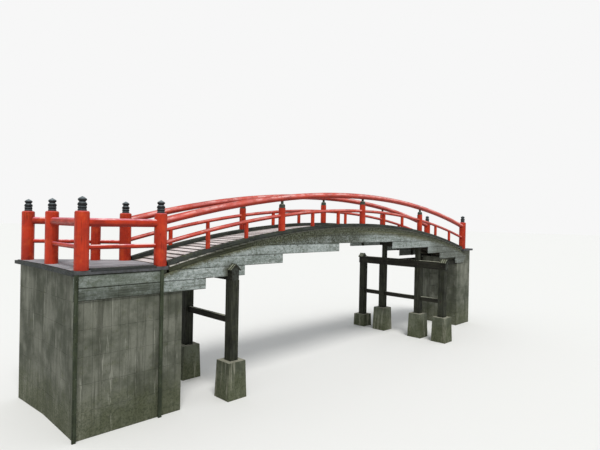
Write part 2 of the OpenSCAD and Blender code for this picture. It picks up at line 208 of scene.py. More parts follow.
def woodLines(tree, where, along, fineness):
    # grain: long along one axis ("x", "y" or "z"), fine across it
    low, high = 0.9, fineness
    stretch = {"x": (low, high, high), "y": (high, low, high), "z": (high, high, low)}[along]
    coarse = blotches(tree, where, 1.0, 5.0, 0.6, stretch, 0.6)
    fine = blotches(tree, where, 3.2, 3.0, 0.6, stretch, 0.2)
    return plus(tree, times(tree, coarse, 0.6), times(tree, fine, 0.4))


redPaint = {
    "body": paint(192, 54, 22), "deep": paint(130, 28, 13), "orange": paint(212, 86, 34),
    # the pale pink and near-white colours here are painted highlight
    "highlightPale": paint(240, 150, 146), "highlightPink": paint(242, 150, 170), "glint": paint(252, 206, 200),
    "crack": paint(64, 16, 10), "dirt": paint(78, 48, 36),
    "shine": 0.18, "coat": 0.14, "coatRoughness": 0.2, "grainFineness": 24.0,
}


def redFinish(name, grain, highlightAmount):
    # old vermilion paint, with painted shade on the faces that look down; the last argument is how strongly
    # painted highlight pales the faces that look up
    mat, tree, shader = newSurface(name, specular=redPaint["shine"])
    if grain == "arch":
        where = archPoint(tree)[0]
        axis = "x"
    else:
        where = objectPoint(tree)
        axis = grain
    facing = upFacing(tree, surfaceOf(tree))
    lines = woodLines(tree, where, axis, redPaint["grainFineness"])
    clouds = blotches(tree, where, 1.6, 6.0, 0.62)
    patches = blotches(tree, where, 4.5, 5.0, 0.65)
    cloudy = fadeBetween(tree, clouds, 0.36, 0.66, 0.0, 0.75)
    colour = blendColour(tree, cloudy, redPaint["body"], redPaint["deep"])
    colour = blendColour(tree, fadeBetween(tree, patches, 0.48, 0.70, 0.0, 0.42), colour, redPaint["orange"])
    colour = blendColour(tree, fadeBetween(tree, lines, 0.42, 0.70, 0.0, 0.4), colour, redPaint["deep"])
    # painted shade: the faces that look down are darkened to the deep red
    under = fadeBetween(tree, facing, -0.7, 0.15, 0.85, 0.0)
    colour = blendColour(tree, under, colour, redPaint["deep"])
    if grain == "arch":
        # the arched rails get a band of painted highlight along their upper side, the level ones along the
        # top
        crest = fadeBetween(tree, facing, 0.5, 0.88, 1.0, 0.3)
        reach = times(tree, fadeBetween(tree, facing, -0.3, 0.25), crest)
        dashes = times(tree, fadeBetween(tree, facing, 0.15, 0.45), crest)
    else:
        reach = fadeBetween(tree, facing, 0.45, 0.9)
        dashes = fadeBetween(tree, facing, 0.52, 0.80)
    sun = times(tree, reach, fadeBetween(tree, patches, 0.36, 0.62, 1.0, 0.5))
    pale = redPaint["highlightPale" if grain == "arch" else "highlightPink"]
    colour = blendColour(tree, times(tree, sun, highlightAmount), colour, pale)
    stretch = {"x": (0.5, 15.0, 15.0), "y": (15.0, 0.5, 15.0), "z": (15.0, 15.0, 0.5)}[axis]
    if axis == "x":
        # whitish dashes of painted highlight along the crown of the rails
        glintPatches = blotches(tree, where, 1.0, 5.0, 0.7, (1.6, 6.0, 6.0))
        crown = times(tree, dashes, fadeBetween(tree, glintPatches, 0.47, 0.56))
        colour = blendColour(tree, times(tree, crown, highlightAmount), colour, redPaint["glint"])
    splits = blotches(tree, where, 1.0, 2.0, 0.5, stretch, 0.3)
    crack = fadeBetween(tree, absolute(tree, minus(tree, splits, 0.5)), 0.002, 0.012, 1.0, 0.0)
    crack = times(tree, crack, fadeBetween(tree, blotches(tree, where, 1.9, 2.0), 0.46, 0.62))
    colour = blendColour(tree, times(tree, crack, 0.6), colour, redPaint["crack"])
    chips = fadeBetween(tree, blotches(tree, where, 11.0, 6.0, 0.72), 0.63, 0.70)
    colour = blendColour(tree, times(tree, chips, 0.6), colour, redPaint["dirt"])
    tree.links.new(colour, shader.inputs["Base Color"])
    rough = plus(tree, fadeBetween(tree, clouds, 0.3, 0.7, 0.36, 0.52), times(tree, crack, 0.3))
    tree.links.new(rough, shader.inputs["Roughness"])
    shader.inputs["Coat Weight"].default_value = redPaint["coat"]
    shader.inputs["Coat Roughness"].default_value = redPaint["coatRoughness"]
    height = minus(tree, times(tree, lines, 0.5), times(tree, crack, 1.4))
    height = minus(tree, height, times(tree, chips, 0.4))
    applyBump(tree, shader, height, 0.7, 0.006)
    return mat


boardTones = {
    "pale": paint(168, 176, 175), "white": paint(196, 201, 198), "grey": paint(132, 141, 137),
    "streak": paint(88, 92, 84), "olive": paint(90, 92, 66), "moss": paint(70, 73, 58),
    "dark": paint(34, 36, 26), "brown": paint(58, 50, 36), "seam": paint(36, 37, 30),
    "lichen": paint(84, 92, 80), "shaded": paint(82, 84, 76), "stain": paint(72, 72, 56),
    "growthAlong": -2.9, "darkPatchAlong": -6.74,
}


def boardBase(tree, where, geo):
    # bleached sawn boards with dark grain and rain streaks
    lines = woodLines(tree, where, "x", 30.0)
    clouds = blotches(tree, where, 1.1, 6.0, 0.65)
    colour = blendColour(tree, fadeBetween(tree, clouds, 0.36, 0.66), boardTones["pale"], boardTones["grey"])
    each = times(tree, geo.outputs["Random Per Island"], 0.45)
    colour = blendColour(tree, each, colour, boardTones["grey"])
    colour = blendColour(tree, fadeBetween(tree, lines, 0.46, 0.70, 0.0, 0.6), colour, boardTones["streak"])
    bands = blotches(tree, where, 1.0, 6.0, 0.72, (0.8, 6.0, 11.0), 0.5)
    colour = blendColour(tree, fadeBetween(tree, bands, 0.50, 0.66, 0.0, 0.75), colour, boardTones["streak"])
    colour = blendColour(tree, fadeBetween(tree, bands, 0.32, 0.46, 0.55, 0.0), colour, boardTones["white"])
    runs = blotches(tree, where, 1.0, 5.0, 0.7, (6.0, 6.0, 1.2), 0.4)
    colour = blendColour(tree, fadeBetween(tree, runs, 0.54, 0.74, 0.0, 0.45), colour, boardTones["streak"])
    spots = fadeBetween(tree, blotches(tree, where, 13.0, 6.0, 0.78), 0.56, 0.66)
    colour = blendColour(tree, times(tree, spots, 0.6), colour, boardTones["brown"])
    mottle = blotches(tree, where, 15.0, 6.0, 0.85, (0.6, 1.0, 1.0))
    colour = blendColour(tree, fadeBetween(tree, mottle, 0.51, 0.58, 0.0, 0.7), colour, boardTones["lichen"])
    colour = blendColour(tree, fadeBetween(tree, mottle, 0.38, 0.45, 0.6, 0.0), colour, boardTones["white"])
    knots = fadeBetween(tree, cells(tree, where, 2.9, (1.0, 1.0, 1.7)), 0.06, 0.12, 0.9, 0.0)
    colour = blendColour(tree, knots, colour, boardTones["brown"])
    return colour, lines, clouds


def courseSeam(tree, z, low, high, strength):
    # the damp seam along the lower edge of each course of boards
    course = calc(tree, "DIVIDE", minus(tree, z, bridge["landZ"] + bridge["fasciaLow"]), bridge["courseH"])
    part = calc(tree, "FRACT", plus(tree, course, 10.0))
    above = fadeBetween(tree, part, low, high, 0.0, strength)
    return calc(tree, "MAXIMUM", fadeBetween(tree, part, 0.02, 0.07, 1.0, 0.0), above)


def boardFinish(name, mossy):
    # fascia boards; mossy is how far the growth has spread from the top edge
    mat, tree, shader = newSurface(name, 0.8, specular=0.2)
    along, up = archPoint(tree)[1:]
    straight = objectPoint(tree)
    z = splitPoint(tree, straight)[2]
    colour, lines, clouds = boardBase(tree, straight, surfaceOf(tree))
    below = times(tree, plus(tree, up, bridge["fasciaDrop"]), -1.0)
    growth = blotches(tree, straight, 11.0, 9.0, 0.8)
    ragged = plus(tree, below, times(tree, minus(tree, growth, 0.5), -0.38))
    edge = fadeBetween(tree, ragged, -0.02, 0.10 + 0.14 * mossy, 0.95, 0.0)
    colour = blendColour(tree, edge, colour, boardTones["olive"])
    dots = fadeBetween(tree, blotches(tree, straight, 15.0, 7.0, 0.8), 0.47, 0.58)
    colour = blendColour(tree, times(tree, times(tree, edge, dots), 0.85), colour, boardTones["brown"])
    if mossy > 0.5:
        # the dark growth left of mid-span
        off = absolute(tree, minus(tree, along, boardTones["growthAlong"]))
        middle = fadeBetween(tree, off, 2.2, 3.4, 1.0, 0.0)
        patch = blotches(tree, straight, 5.0, 9.0, 0.85, (0.6, 1.0, 1.0))
        patch = fadeBetween(tree, patch, 0.40, 0.54, 0.35, 1.0)
        colour = blendColour(tree, times(tree, times(tree, middle, patch), 0.72), colour, boardTones["moss"])
        specks = fadeBetween(tree, blotches(tree, straight, 24.0, 4.0, 0.8, (0.8, 1.0, 1.0)), 0.49, 0.56)
        colour = blendColour(tree, times(tree, times(tree, middle, specks), 0.85), colour, boardTones["dark"])
        light = blotches(tree, straight, 20.0, 4.0, 0.8, (0.7, 1.0, 1.0))
        light = fadeBetween(tree, light, 0.36, 0.44, 0.5, 0.0)
        colour = blendColour(tree, times(tree, middle, light), colour, boardTones["grey"])
    right = times(tree, fadeBetween(tree, along, 4.6, 6.2), fadeBetween(tree, growth, 0.34, 0.6, 0.4, 0.85))
    colour = blendColour(tree, right, colour, boardTones["shaded"])
    # the dark patch behind the left pier's beam end, partly stain and partly painted shadow of its hood
    off = absolute(tree, minus(tree, along, boardTones["darkPatchAlong"]))
    stain = fadeBetween(tree, off, 0.06, 0.32, 0.85, 0.0)
    stain = times(tree, stain, fadeBetween(tree, up, -0.8, -0.45, 1.0, 0.0))
    colour = blendColour(tree, stain, colour, boardTones["stain"])
    seam = times(tree, courseSeam(tree, z, 0.94, 1.0, 0.8), fadeBetween(tree, clouds, 0.3, 0.6, 0.45, 0.95))
    colour = blendColour(tree, seam, colour, boardTones["seam"])
    tree.links.new(colour, shader.inputs["Base Color"])
    tree.links.new(fadeBetween(tree, lines, 0.3, 0.7, 0.72, 0.95), shader.inputs["Roughness"])
    applyBump(tree, shader, plus(tree, lines, times(tree, edge, growth)), 0.8, 0.008)
    return mat


sidingTones = {"worn": paint(82, 88, 74), "darkBand": paint(76, 81, 72), "darkBandDeep": paint(36, 39, 34)}


def sidingFinish(name):
    # the landing's boards, with a darker band along their foot
    mat, tree, shader = newSurface(name, 0.85, specular=0.2)
    where = objectPoint(tree)
    z = splitPoint(tree, where)[2]
    colour, lines = boardBase(tree, where, surfaceOf(tree))[:2]
    growth = blotches(tree, where, 3.2, 8.0, 0.74)
    colour = blendColour(tree, fadeBetween(tree, growth, 0.34, 0.66, 0.35, 0.85), colour, sidingTones["worn"])
    low = fadeBetween(tree, z, bridge["landZ"] - 0.56, bridge["landZ"] - 0.34, 0.9, 0.0)
    darkBand = fadeBetween(tree, lines, 0.4, 0.62)
    darkBand = blendColour(tree, darkBand, sidingTones["darkBand"], sidingTones["darkBandDeep"])
    low = times(tree, low, fadeBetween(tree, growth, 0.36, 0.6, 0.55, 1.0))
    colour = blendColour(tree, low, colour, darkBand)
    seam = courseSeam(tree, z, 0.93, 0.98, 0.9)
    colour = blendColour(tree, times(tree, seam, 0.85), colour, boardTones["seam"])
    tree.links.new(colour, shader.inputs["Base Color"])
    applyBump(tree, shader, plus(tree, lines, growth), 0.7, 0.006)
    return mat


hoodTones = {
    # the first colour is painted shade, the second painted light
    "under": paint(32, 34, 28), "paintedTopLight": paint(80, 84, 68),
    "grain": paint(66, 68, 58), "moss": paint(66, 70, 50),
}


def hoodFinish(name):
    # roof boards over the beam ends, with painted light on the faces that look up and painted shade on the
    # upright ones and those that look down
    mat, tree, shader = newSurface(name, 0.8, specular=0.2)
    where = objectPoint(tree)
    facing = upFacing(tree, surfaceOf(tree))
    lines = woodLines(tree, where, "z", 34.0)
    # painted light and shade: faces that look up pale, the others dark
    colour = blendColour(tree, fadeBetween(tree, facing, 0.0, 0.5), hoodTones["under"], hoodTones["paintedTopLight"])
    colour = blendColour(tree, fadeBetween(tree, lines, 0.46, 0.66, 0.0, 0.7), colour, hoodTones["grain"])
    growth = fadeBetween(tree, blotches(tree, where, 8.0, 7.0, 0.75), 0.50, 0.62, 0.0, 0.6)
    colour = blendColour(tree, growth, colour, hoodTones["moss"])
    tree.links.new(colour, shader.inputs["Base Color"])
    applyBump(tree, shader, lines, 0.7, 0.005)
    return mat


timberTones = {"moss": paint(80, 86, 52), "lichen": paint(120, 124, 108)}


def timberFinish(name, axis, light, dark, mossAmount, ends=None, middle=None, worn=None):
    # dark timber with growth on the faces that look up; ends is the colour of the sawn ends along Y,
    # middle that of the span between the piers, and worn that of the painted light on the faces that look up
    mat, tree, shader = newSurface(name, 0.85, specular=0.2)
    if axis == "arch":
        where = archPoint(tree)[0]
        axis = "x"
    else:
        where = objectPoint(tree)
    geo = surfaceOf(tree)
    facing = upFacing(tree, geo)
    lines = woodLines(tree, where, axis, 22.0)
    clouds = blotches(tree, where, 1.7, 5.0, 0.6)
    colour = blendColour(tree, fadeBetween(tree, lines, 0.36, 0.66), light, dark)
    colour = blendColour(tree, fadeBetween(tree, clouds, 0.4, 0.7, 0.0, 0.7), colour, dark)
    if middle is not None:
        along = minus(tree, splitPoint(tree, objectPoint(tree))[0], bridge["shiftX"])
        inner = fadeBetween(tree, plus(tree, along, clouds), -5.6, -4.2)
        mottle = fadeBetween(tree, blotches(tree, where, 18.0, 5.0, 0.8), 0.44, 0.56)
        mottle = blendColour(tree, mottle, middle, dark)
        colour = blendColour(tree, times(tree, inner, 0.9), colour, mottle)
    if ends is not None:
        across = splitPoint(tree, geo.outputs["Normal"])[1]
        end = fadeBetween(tree, absolute(tree, across), 0.8, 0.95)
        ringed = fadeBetween(tree, blotches(tree, where, 12.0, 5.0, 0.7), 0.4, 0.66)
        ringed = blendColour(tree, ringed, ends, dark)
        colour = blendColour(tree, end, colour, ringed)
    growth = blotches(tree, where, 6.0, 7.0, 0.7)
    # painted light: the faces that look up are paled to the worn colour in patches
    if worn is not None:
        paintedTopLight = fadeBetween(tree, growth, 0.3, 0.62, 0.95, 0.5)
        paintedTopLight = times(tree, fadeBetween(tree, facing, 0.25, 0.8), paintedTopLight)
        colour = blendColour(tree, paintedTopLight, colour, worn)
    face = fadeBetween(tree, facing, 0.1, 0.9, 0.25, 1.0)
    moss = times(tree, fadeBetween(tree, growth, 0.46, 0.6), times(tree, face, mossAmount))
    colour = blendColour(tree, moss, colour, timberTones["moss"])
    lichen = fadeBetween(tree, blotches(tree, where, 21.0, 4.0, 0.7), 0.62, 0.7)
    colour = blendColour(tree, times(tree, lichen, 0.4), colour, timberTones["lichen"])
    tree.links.new(colour, shader.inputs["Base Color"])
    tree.links.new(fadeBetween(tree, lines, 0.3, 0.7, 0.7, 0.95), shader.inputs["Roughness"])
    applyBump(tree, shader, plus(tree, lines, times(tree, moss, growth)), 0.8, 0.006)
    return mat


deckPlan = {
    "reach": 8.53, "count": 58, "gap": 0.014, "levelling": 0.28, "seed": 5, "edge": 0.004, "wear": 0.003,
    "nailRows": (-0.735, 0.0, 0.735), "nailPair": (-0.07, 0.07), "nailRadius": 0.006, "nailHeight": 0.004,
}
plankTones = {
    "pale": paint(246, 238, 236), "grey": paint(200, 190, 188), "grain": paint(120, 108, 102),
    # the joint colour stands partly for painted shade of the gaps, and the lighter end colour is painted
    # light
    "cloud": paint(122, 116, 106), "joint": paint(66, 60, 52), "darkBand": paint(84, 84, 66),
    "speck": paint(84, 74, 62), "end": paint(66, 68, 58), "endLit": paint(186, 182, 174),
    "endDirt": paint(58, 60, 48),
}


def plankFinish(name):
    # worn planks, darkened along their joints by dirt and by painted shade of the gaps, the sawn ends given
    # painted light near the landing only
    mat, tree, shader = newSurface(name, 0.7, specular=0.3)
    where = objectPoint(tree)
    along, up = archPoint(tree)[1:]
    each = surfaceOf(tree).outputs["Random Per Island"]
    lines = woodLines(tree, where, "y", 34.0)
    clouds = blotches(tree, where, 2.4, 6.0, 0.65)
    colour = blendColour(tree, each, plankTones["pale"], plankTones["grey"])
    colour = blendColour(tree, fadeBetween(tree, lines, 0.46, 0.72, 0.0, 0.6), colour, plankTones["grain"])
    colour = blendColour(tree, fadeBetween(tree, clouds, 0.52, 0.72, 0.0, 0.65), colour, plankTones["cloud"])
    half = math.asin(deckPlan["reach"] / arcR) * arcR
    part = calc(tree, "FRACT", calc(tree, "DIVIDE", plus(tree, along, half), 2 * half / deckPlan["count"]))
    ragged = plus(tree, part, times(tree, minus(tree, clouds, 0.5), 0.10))
    # painted shade of the gaps between planks, with dirt in the joints, stronger near the landing
    joint = fadeBetween(tree, ragged, 0.07, 0.17, 1.0, 0.0)
    joint = calc(tree, "MAXIMUM", joint, fadeBetween(tree, ragged, 0.85, 0.94))
    joint = times(tree, joint, fadeBetween(tree, along, -7.0, -4.8, 0.85, 0.5))
    colour = blendColour(tree, joint, colour, plankTones["joint"])
    y = splitPoint(tree, where)[1]
    side = absolute(tree, minus(tree, y, bridge["shiftY"]))
    # darker along both sides of the deck
    darkBand = times(tree, fadeBetween(tree, side, 0.74, 0.94), fadeBetween(tree, clouds, 0.3, 0.65, 0.3, 0.9))
    colour = blendColour(tree, darkBand, colour, plankTones["darkBand"])
    end = fadeBetween(tree, side, 1.12, 1.135)
    # painted light on the upper part of the sawn ends near the landing
    litEnds = fadeBetween(tree, plus(tree, along, times(tree, clouds, 2.0)), -7.0, -5.8, 1.0, 0.0)
    litEnds = times(tree, litEnds, fadeBetween(tree, up, -0.141, -0.135))
    endColour = blendColour(tree, litEnds, plankTones["end"], plankTones["endLit"])
    endDirt = fadeBetween(tree, blotches(tree, where, 7.0, 5.0, 0.7), 0.45, 0.6, 0.0, 0.6)
    endColour = blendColour(tree, endDirt, endColour, plankTones["endDirt"])
    colour = blendColour(tree, times(tree, end, 0.95), colour, endColour)
    specks = fadeBetween(tree, blotches(tree, where, 30.0, 3.0, 0.6), 0.64, 0.7)
    colour = blendColour(tree, times(tree, specks, 0.5), colour, plankTones["speck"])
    tree.links.new(colour, shader.inputs["Base Color"])
    tree.links.new(fadeBetween(tree, clouds, 0.3, 0.7, 0.45, 0.8), shader.inputs["Roughness"])
    applyBump(tree, shader, lines, 0.6, 0.004)
    return mat


metalTones = {"specks": paint(28, 29, 30)}


def metalFinish(name, dark, mid, wearAndHighlight):
    # dull cast metal, paled along its worn ridges and given painted highlight on the faces that look up
    mat, tree, shader = newSurface(name, 0.5, 0.15, 0.25)
    where = objectPoint(tree)
    geo = surfaceOf(tree)
    facing = upFacing(tree, geo)
    clouds = blotches(tree, where, 9.0, 6.0, 0.65)
    fine = blotches(tree, where, 46.0, 4.0, 0.6)
    colour = blendColour(tree, fadeBetween(tree, clouds, 0.36, 0.62), dark, mid)
    colour = blendColour(tree, fadeBetween(tree, fine, 0.55, 0.7, 0.0, 0.6), colour, metalTones["specks"])
    worn = fadeBetween(tree, geo.outputs["Pointiness"], 0.52, 0.60)
    colour = blendColour(tree, times(tree, worn, 0.15), colour, wearAndHighlight)
    # painted highlight: faces that look up are paled in patches
    top = times(tree, fadeBetween(tree, facing, 0.42, 0.78), fadeBetween(tree, clouds, 0.3, 0.7, 0.95, 0.6))
    colour = blendColour(tree, top, colour, wearAndHighlight)
    tree.links.new(colour, shader.inputs["Base Color"])
    tree.links.new(fadeBetween(tree, clouds, 0.3, 0.7, 0.38, 0.66), shader.inputs["Roughness"])
    applyBump(tree, shader, fine, 0.35, 0.002)
    return mat


concreteTones = {
    "boardLine": paint(52, 54, 46), "lime": paint(168, 168, 156), "stain": paint(58, 60, 50),
    "moss": paint(94, 98, 68), "mossDark": paint(52, 58, 38),
    "rimTone": paint(72, 74, 78), "rimToneDeep": paint(50, 52, 50),
}


def concreteFinish(name, light, dark, mossAmount, broom=False, darkRim=False, topLightAndLime=None, formwork=0.0):
    # mossy concrete; broom draws strokes across it, the flag after the moss amount darkens a floor's rim
    # strip and its upright faces, the colour after it is that of the painted light on the faces that look up
    # and of the lime washed down from them, and formwork the width of the boards that it was cast against
    mat, tree, shader = newSurface(name, 0.88, specular=0.25)
    where = objectPoint(tree)
    x, y, z = splitPoint(tree, where)
    facing = upFacing(tree, surfaceOf(tree))
    clouds = blotches(tree, where, 1.1, 7.0, 0.62)
    grit = blotches(tree, where, 70.0, 4.0, 0.7)
    colour = blendColour(tree, fadeBetween(tree, clouds, 0.36, 0.64), light, dark)
    colour = blendColour(tree, fadeBetween(tree, grit, 0.52, 0.7, 0.0, 0.5), colour, dark)
    runs = blotches(tree, where, 1.0, 4.0, 0.65, (5.0, 5.0, 0.45), 0.4)
    upright = fadeBetween(tree, absolute(tree, facing), 0.2, 0.7, 1.0, 0.0)
    if formwork:
        across = calc(tree, "DIVIDE", plus(tree, x, times(tree, y, 0.7)), formwork)
        each = tree.nodes.new("ShaderNodeTexWhiteNoise")
        each.noise_dimensions = "1D"
        tree.links.new(calc(tree, "FLOOR", across), each.inputs["W"])
        tone = times(tree, each.outputs["Value"], times(tree, upright, 0.42))
        colour = blendColour(tree, tone, colour, dark)
        imprint = blotches(tree, where, 1.0, 4.0, 0.6, (26.0, 26.0, 0.8), 0.3)
        colour = blendColour(tree, fadeBetween(tree, imprint, 0.5, 0.72, 0.0, 0.4), colour, dark)
        line = absolute(tree, minus(tree, calc(tree, "FRACT", across), 0.5))
        line = times(tree, fadeBetween(tree, line, 0.468, 0.492), upright)
        colour = blendColour(tree, times(tree, line, 0.6), colour, concreteTones["boardLine"])
        lime = fadeBetween(tree, blotches(tree, where, 1.0, 5.0, 0.7, (9.0, 9.0, 0.6), 0.3), 0.60, 0.68)
        lime = times(tree, lime, times(tree, upright, 0.5))
        colour = blendColour(tree, lime, colour, concreteTones["lime"])
    stain = times(tree, fadeBetween(tree, runs, 0.48, 0.7), times(tree, upright, 0.65))
    colour = blendColour(tree, stain, colour, concreteTones["stain"])
    growth = blotches(tree, where, 4.0, 8.0, 0.7)
    foot = fadeBetween(tree, plus(tree, z, times(tree, growth, -2.2)), -0.9, 0.35, 1.0, 0.0)
    moss = calc(tree, "MAXIMUM", foot, fadeBetween(tree, growth, 0.55, 0.68, 0.0, 0.7))
    moss = times(tree, moss, mossAmount)
    tuft = blotches(tree, where, 17.0, 6.0, 0.8)
    green = fadeBetween(tree, tuft, 0.42, 0.6)
    green = blendColour(tree, green, concreteTones["moss"], concreteTones["mossDark"])
    moss = times(tree, moss, fadeBetween(tree, tuft, 0.40, 0.58, 0.45, 1.0))
    colour = blendColour(tree, moss, colour, green)
    if topLightAndLime is not None:
        # painted light on the faces that look up, and lime washed down from them
        wash = times(tree, fadeBetween(tree, runs, 0.34, 0.44, 1.0, 0.0), times(tree, upright, 0.5))
        pale = calc(tree, "MAXIMUM", wash, fadeBetween(tree, facing, 0.5, 0.9, 0.0, 0.8))
        pale = times(tree, pale, fadeBetween(tree, growth, 0.4, 0.7, 1.0, 0.4))
        colour = blendColour(tree, pale, colour, topLightAndLime)
    tree.links.new(fadeBetween(tree, grit, 0.3, 0.7, 0.78, 0.96), shader.inputs["Roughness"])
    height = plus(tree, times(tree, grit, 0.5), clouds)
    if formwork:
        height = plus(tree, height, minus(tree, times(tree, imprint, 1.4), times(tree, line, 1.5)))
    if darkRim:
        # the floor's rim strip and its upright faces are darkened
        strip = fadeBetween(tree, minus(tree, y, bridge["shiftY"]), -0.95, -0.90, 0.85, 0.0)
        strip = calc(tree, "MAXIMUM", strip, times(tree, upright, 0.9))
        rimTone = fadeBetween(tree, growth, 0.4, 0.6)
        rimTone = blendColour(tree, rimTone, concreteTones["rimTone"], concreteTones["rimToneDeep"])
        colour = blendColour(tree, strip, colour, rimTone)
    tree.links.new(colour, shader.inputs["Base Color"])
    if broom:
        strokes = blotches(tree, where, 1.0, 3.0, 0.6, (4.0, 90.0, 4.0))
        height = plus(tree, height, strokes)
    pits = fadeBetween(tree, cells(tree, where, 26.0), 0.05, 0.11, -0.8, 0.0)
    height = plus(tree, height, pits)
    applyBump(tree, shader, height, 0.6, 0.004)
    return mat


ironTones = {"dark": paint(38, 37, 34), "rust": paint(66, 54, 45)}


def ironFinish(name):
    # rusty nails and bolts
    mat, tree, shader = newSurface(name, 0.7, 0.4, 0.4)
    where = objectPoint(tree)
    rust = blotches(tree, where, 60.0, 5.0, 0.6)
    colour = blendColour(tree, fadeBetween(tree, rust, 0.4, 0.62), ironTones["dark"], ironTones["rust"])
    tree.links.new(colour, shader.inputs["Base Color"])
    applyBump(tree, shader, rust, 0.4, 0.001)
    return mat


redArch = redFinish("redPaintAlongArch", "arch", 0.56)
redLower = redFinish("redPaintLowerRail", "arch", 0.4)
redUp = redFinish("redPaintUpright", "z", 0.45)
redLevelX = redFinish("redPaintLevel", "x", 0.95)
redLevelY = redFinish("redPaintAcross", "y", 0.8)
topBoards = boardFinish("mossyTopBoards", 1.0)
greyBoards = boardFinish("greyBoards", 0.3)
sidingBoards = sidingFinish("sidingBoards")
planksFinish = plankFinish("deckPlanks")
curbTimber = timberFinish("curbTimber", "arch", paint(66, 70, 67), paint(34, 36, 33), 0.6)
rimTimber = timberFinish("rimTimber", "arch", paint(84, 86, 70), paint(48, 50, 38), 0.7,
                         middle=paint(124, 128, 110))
girderTimber = timberFinish("girderTimber", "arch", paint(60, 54, 44), paint(30, 27, 22), 0.2)
pierTimber = timberFinish("pierTimber", "z", paint(60, 62, 52), paint(20, 21, 17), 0.4)
# the cross beams' tops get painted light
crossTimber = timberFinish("crossTimber", "y", paint(48, 47, 40), paint(22, 21, 18), 0.3,
                           ends=paint(58, 61, 56), worn=paint(196, 198, 178))
sideTimber = timberFinish("sideTimber", "x", paint(36, 36, 30), paint(17, 17, 14), 0.3)
edgeTimber = timberFinish("edgeTimber", "x", paint(76, 79, 80), paint(44, 46, 46), 0.35)
battenTimber = timberFinish("battenTimber", "z", paint(66, 74, 58), paint(36, 41, 30), 0.5)
hoodBoardsFinish = hoodFinish("hoodRoofBoards")
patina = metalFinish("patinaMetal", paint(9, 11, 12), paint(20, 23, 25), paint(126, 136, 140))
capPatina = metalFinish("capMetal", paint(36, 41, 35), paint(62, 70, 59), paint(130, 138, 122))
slabFinish = concreteFinish("landingConcrete", paint(166, 165, 170), paint(130, 129, 133), 0.10,
                            broom=True, darkRim=True)
wallFinish = concreteFinish("wallConcrete", paint(124, 125, 114), paint(74, 77, 66), 0.7, formwork=0.22)
# the footings' tops get painted light
footFinish = concreteFinish("footingConcrete", paint(108, 112, 98), paint(66, 70, 58), 0.8,
                            topLightAndLime=paint(160, 158, 142))
iron = ironFinish("rustyIron")
print("finishes ready")


def addPiece(name, mesh, finish, body="root"):
    obj = bpy.data.objects.new(name, mesh)
    bpy.context.scene.collection.objects.link(obj)
    mesh.materials.clear()
    mesh.materials.append(finish)
    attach(obj, body)
    return obj


def meshFrom(bm, name, smooth=False):
    mesh = bpy.data.meshes.new(name)
    bmesh.ops.recalc_face_normals(bm, faces=bm.faces)
    bm.to_mesh(mesh)
    bm.free()
    if smooth:
        for face in mesh.polygons:
            face.use_smooth = True
    return mesh


def softenEdges(obj, width, angle=40):
    mod = obj.modifiers.new("soft edges", "BEVEL")
    mod.width = width
    mod.segments = 2
    mod.limit_method = "ANGLE"
    mod.angle_limit = math.radians(angle)


def smoothRound(obj, angle):
    # smooth shading with sharp edges kept; the vertices stay as they are
    for face in obj.data.polygons:
        face.use_smooth = True
    obj.data.set_sharp_from_angle(angle=math.radians(angle))


def board(bm, centre, along, wide, length, width, thick, cuts, wear, seed):
    # one sawn board: a bar with cuts across it, its long edges worn a little
    along = along.normalized()
    wide = wide.normalized()
    up = along.cross(wide).normalized()
    rows = []
    for i in range(cuts + 1):
        t = i / cuts - 0.5
        corners = []
        for w, h in ((-0.5, -0.5), (0.5, -0.5), (0.5, 0.5), (-0.5, 0.5)):
            p = centre + along * (t * length) + wide * (w * width) + up * (h * thick)
            spot = p * 3.1 + Vector((seed * 7.3, seed * 1.7, seed * 3.9))
            sideLoss = w * 2 * wear * (0.5 + noise.noise(spot))
            topLoss = h * 2 * wear * 0.6 * (0.5 + noise.noise(spot + Vector((9, 4, 2))))
            corners.append(bm.verts.new(p - wide * sideLoss - up * topLoss))
        rows.append(corners)
    for a, b in zip(rows, rows[1:]):
        for k in range(4):
            bm.faces.new((a[k], a[(k + 1) % 4], b[(k + 1) % 4], b[k]))
    bm.faces.new(rows[0][::-1])
    bm.faces.new(rows[-1])


def slicedCopy(node, axis, cuts, gap):
    # the node's solid, sawn through at the given places, as closed pieces
    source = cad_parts[node]
    farOut = 1000.0
    edges = [-farOut] + sorted(cuts) + [farOut]
    normal = Vector((1, 0, 0)) if axis == "x" else Vector((0, 0, 1))
    whole = bmesh.new()
    for low, high in zip(edges, edges[1:]):
        bm = bmesh.new()
        bm.from_mesh(source.data)
        bmesh.ops.remove_doubles(bm, verts=bm.verts, dist=0.0001)
        for at, sign in ((low + gap / 2, -1), (high - gap / 2, 1)):
            if abs(at) > farOut - gap:
                continue
            geom = bm.verts[:] + bm.edges[:] + bm.faces[:]
            if not geom:
                break
            bmesh.ops.bisect_plane(bm, geom=geom, plane_co=normal * at, plane_no=normal * sign,
                                   clear_outer=True)
            rim = [e for e in bm.edges if e.is_boundary]
            if rim:
                bmesh.ops.holes_fill(bm, edges=rim, sides=0)
        if bm.faces:
            part = bpy.data.meshes.new("part")
            bm.to_mesh(part)
            whole.from_mesh(part)
            bpy.data.meshes.remove(part)
        bm.free()
    bmesh.ops.dissolve_limit(whole, angle_limit=math.radians(0.2), verts=whole.verts, edges=whole.edges)
    return meshFrom(whole, node + "Boards")


